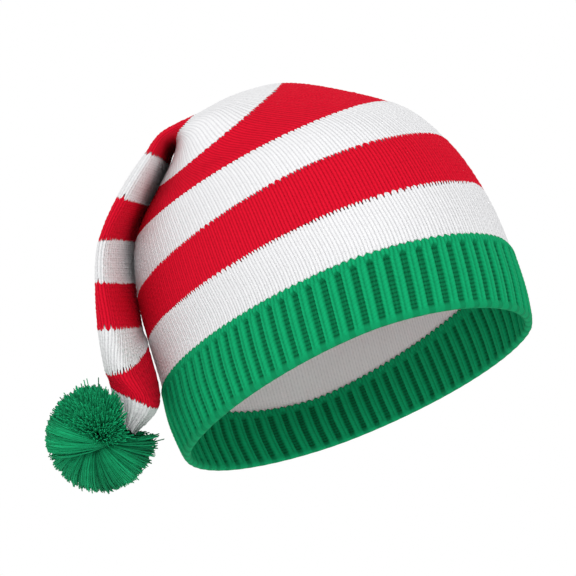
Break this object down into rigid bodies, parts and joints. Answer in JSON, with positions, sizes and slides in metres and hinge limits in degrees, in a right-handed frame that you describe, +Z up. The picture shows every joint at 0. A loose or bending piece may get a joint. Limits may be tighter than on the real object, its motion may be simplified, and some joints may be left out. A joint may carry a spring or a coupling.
{
  "type": "elf hat",
  "caption": "Knitted stocking elf hat as worn: ribbed band, striped crown folding over into a hanging striped tail, yarn pompom.",
  "frame": {"origin": "middle of the head opening, in the plane of the rim", "axes": "+Z up on an upright wearer, -Y the way the wearer looks; the rim plane tips back, its front edge high; the tail flops over the wearer's right rear"},
  "size_m": [0.1944, 0.2244, 0.2081],
  "materials": {
    "band_yarn": "green one by one rib knit, matt acrylic yarn",
    "striped_yarn": "plain stocking-stitch knit in red and white stripes, matt acrylic yarn",
    "pompom_yarn": "green cut yarn, matt"
  },
  "bodies": {
    "root": {"band": "band_yarn", "crown": "striped_yarn", "tail": "striped_yarn", "pompom": "pompom_yarn"}
  },
  "joints": []
}
